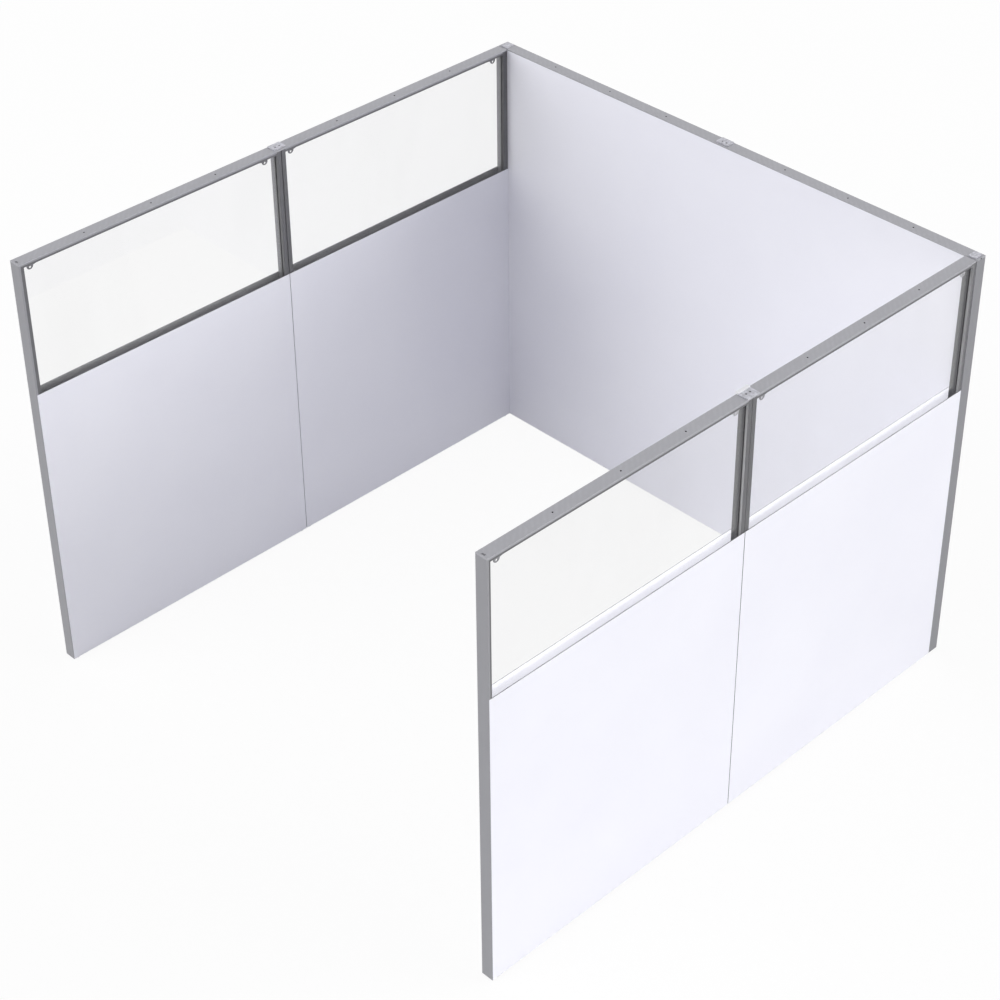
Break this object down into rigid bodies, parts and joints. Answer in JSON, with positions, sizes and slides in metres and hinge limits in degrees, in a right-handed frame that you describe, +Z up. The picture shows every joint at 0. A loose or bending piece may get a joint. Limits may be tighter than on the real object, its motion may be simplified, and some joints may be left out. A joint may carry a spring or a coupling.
{
  "type": "cubicle workstation",
  "caption": "U-shaped office cubicle of framed white laminate panels, glazed above the ledge in both side walls, with a solid back wall, grey top caps and an open front.",
  "frame": {"origin": "on the floor, at the centre of the footprint", "axes": "+X to the right of someone who looks in at the open front, +Y towards the back wall, +Z up"},
  "size_m": [2.4384, 2.4892, 1.8448],
  "materials": {
    "frame": "satin",
    "cap": "satin",
    "end_cap": "satin",
    "plate": "satin",
    "clip": "satin",
    "screw": "satin",
    "bolt": "satin",
    "skin": "matte",
    "glass": "gloss",
    "gasket": "matte",
    "core": "matte",
    "glide": "matte"
  },
  "bodies": {
    "walls": {"frame_left_front": "frame", "core_left_front": "core", "top_cap_left_front": "cap", "frame_left_rear": "frame", "core_left_rear": "core", "top_cap_left_rear": "cap", "frame_back_left": "frame", "core_back_left": "core", "top_cap_back_left": "cap", "frame_back_right": "frame", "core_back_right": "core", "top_cap_back_right": "cap", "frame_right_rear": "frame", "core_right_rear": "core", "top_cap_right_rear": "cap", "frame_right_front": "frame", "core_right_front": "core", "top_cap_right_front": "cap", "inner_skin_left_front": "skin", "outer_skin_left_front": "skin", "glass_left_front": "glass", "gasket_left_front": "gasket", "inner_skin_left_rear": "skin", "outer_skin_left_rear": "skin", "glass_left_rear": "glass", "gasket_left_rear": "gasket", "inner_skin_right_rear": "skin", "outer_skin_right_rear": "skin", "glass_right_rear": "glass", "gasket_right_rear": "gasket", "inner_skin_right_front": "skin", "outer_skin_right_front": "skin", "glass_right_front": "glass", "gasket_right_front": "gasket", "inner_skin_back": "skin", "outer_skin_back": "skin", "end_cap_left_front": "end_cap", "end_cap_right_front": "end_cap", "end_cap_back_left": "end_cap", "end_cap_back_right": "end_cap", "splice_plates": "plate", "corner_plates": "plate", "hook_over_block": "plate", "glazing_clips": "clip", "cap_screws": "screw", "connector_bolts": "bolt"},
    "glide_left_front_start": {"glide_left_front_start": "glide"},
    "glide_left_front_end": {"glide_left_front_end": "glide"},
    "glide_left_rear_start": {"glide_left_rear_start": "glide"},
    "glide_left_rear_end": {"glide_left_rear_end": "glide"},
    "glide_back_left_start": {"glide_back_left_start": "glide"},
    "glide_back_left_end": {"glide_back_left_end": "glide"},
    "glide_back_right_start": {"glide_back_right_start": "glide"},
    "glide_back_right_end": {"glide_back_right_end": "glide"},
    "glide_right_rear_start": {"glide_right_rear_start": "glide"},
    "glide_right_rear_end": {"glide_right_rear_end": "glide"},
    "glide_right_front_start": {"glide_right_front_start": "glide"},
    "glide_right_front_end": {"glide_right_front_end": "glide"}
  },
  "joints": [
    {"name": "glide_left_front_start_height", "type": "slide", "parent": "walls", "child": "glide_left_front_start", "axis": [0, 0, -1], "range_m": [0, 0.02]},
    {"name": "glide_left_front_end_height", "type": "slide", "parent": "walls", "child": "glide_left_front_end", "axis": [0, 0, -1], "range_m": [0, 0.02]},
    {"name": "glide_left_rear_start_height", "type": "slide", "parent": "walls", "child": "glide_left_rear_start", "axis": [0, 0, -1], "range_m": [0, 0.02]},
    {"name": "glide_left_rear_end_height", "type": "slide", "parent": "walls", "child": "glide_left_rear_end", "axis": [0, 0, -1], "range_m": [0, 0.02]},
    {"name": "glide_back_left_start_height", "type": "slide", "parent": "walls", "child": "glide_back_left_start", "axis": [0, 0, -1], "range_m": [0, 0.02]},
    {"name": "glide_back_left_end_height", "type": "slide", "parent": "walls", "child": "glide_back_left_end", "axis": [0, 0, -1], "range_m": [0, 0.02]},
    {"name": "glide_back_right_start_height", "type": "slide", "parent": "walls", "child": "glide_back_right_start", "axis": [0, 0, -1], "range_m": [0, 0.02]},
    {"name": "glide_back_right_end_height", "type": "slide", "parent": "walls", "child": "glide_back_right_end", "axis": [0, 0, -1], "range_m": [0, 0.02]},
    {"name": "glide_right_rear_start_height", "type": "slide", "parent": "walls", "child": "glide_right_rear_start", "axis": [0, 0, -1], "range_m": [0, 0.02]},
    {"name": "glide_right_rear_end_height", "type": "slide", "parent": "walls", "child": "glide_right_rear_end", "axis": [0, 0, -1], "range_m": [0, 0.02]},
    {"name": "glide_right_front_start_height", "type": "slide", "parent": "walls", "child": "glide_right_front_start", "axis": [0, 0, -1], "range_m": [0, 0.02]},
    {"name": "glide_right_front_end_height", "type": "slide", "parent": "walls", "child": "glide_right_front_end", "axis": [0, 0, -1], "range_m": [0, 0.02]}
  ]
}
